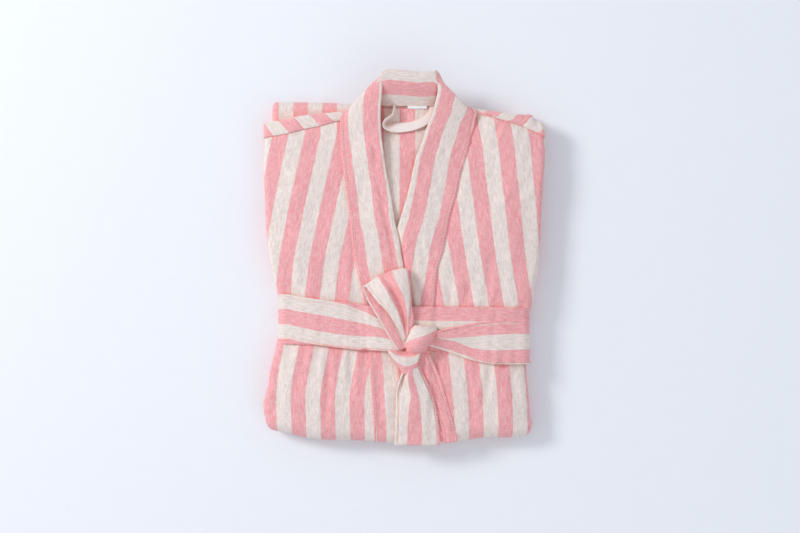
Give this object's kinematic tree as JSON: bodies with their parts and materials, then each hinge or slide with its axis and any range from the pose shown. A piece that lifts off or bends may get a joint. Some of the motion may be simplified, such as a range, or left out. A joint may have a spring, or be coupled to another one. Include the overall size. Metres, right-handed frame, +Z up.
{
  "type": "folded bathrobe",
  "caption": "Striped cotton kimono bathrobe folded into a flat bundle, tied round with its belt in a half bow, with a collar band, neck label and hanger loop.",
  "frame": {"origin": "middle of the bundle's box, on the surface it lies on", "axes": "+Y along the length of the bundle towards the collar, +X to the wearer's left, +Z up, out of the robe's front"},
  "size_m": [0.344, 0.458, 0.0558],
  "materials": {
    "striped_cotton": "matte",
    "cream_cotton": "matte",
    "label_tape": "matte",
    "sewing_thread": "matte"
  },
  "bodies": {
    "robe": {"back_panel": "striped_cotton", "front_panel_right": "striped_cotton", "front_panel_left": "striped_cotton", "collar_band_right": "striped_cotton", "collar_band_left": "striped_cotton", "sleeve_right": "striped_cotton", "sleeve_left": "striped_cotton", "belt_carrier_right": "striped_cotton", "belt_carrier_left": "striped_cotton", "belt_first_turn": "striped_cotton", "belt_first_turn_under": "striped_cotton", "belt_end_right": "striped_cotton", "belt_end_left": "striped_cotton", "knot_wrap": "striped_cotton", "knot_bight": "striped_cotton", "collar_topstitch": "sewing_thread", "shoulder_topstitch": "sewing_thread", "belt_topstitch": "sewing_thread", "neck_overlock_thread": "sewing_thread"},
    "belt_tail_front": {"belt_tail_front": "striped_cotton"},
    "belt_tail_back": {"belt_tail_back": "striped_cotton"},
    "bow_loop": {"bow_loop": "striped_cotton"},
    "hanger_loop": {"hanger_loop": "cream_cotton"},
    "neck_label": {"neck_label": "label_tape"}
  },
  "joints": [
    {"name": "belt_tail_front_lift", "type": "hinge", "parent": "robe", "child": "belt_tail_front", "pos_m": [0.0115, -0.146, 0.0402], "axis": [-1, 0, 0], "range_deg": [0, 90]},
    {"name": "belt_tail_back_lift", "type": "hinge", "parent": "robe", "child": "belt_tail_back", "pos_m": [0.03, -0.129, 0.0387], "axis": [-1, 0, 0], "range_deg": [0, 90]},
    {"name": "bow_loop_lift", "type": "hinge", "parent": "robe", "child": "bow_loop", "pos_m": [-0.009, -0.088, 0.0433], "axis": [0.9558, 0.2941, 0], "range_deg": [0, 70]},
    {"name": "hanger_loop_swing", "type": "hinge", "parent": "robe", "child": "hanger_loop", "pos_m": [0.009, 0.184, 0.0323], "axis": [-1, 0, 0], "range_deg": [0, 90]},
    {"name": "neck_label_flip", "type": "hinge", "parent": "robe", "child": "neck_label", "pos_m": [0.0135, 0.184, 0.0312], "axis": [-1, 0, 0], "range_deg": [0, 60]}
  ]
}
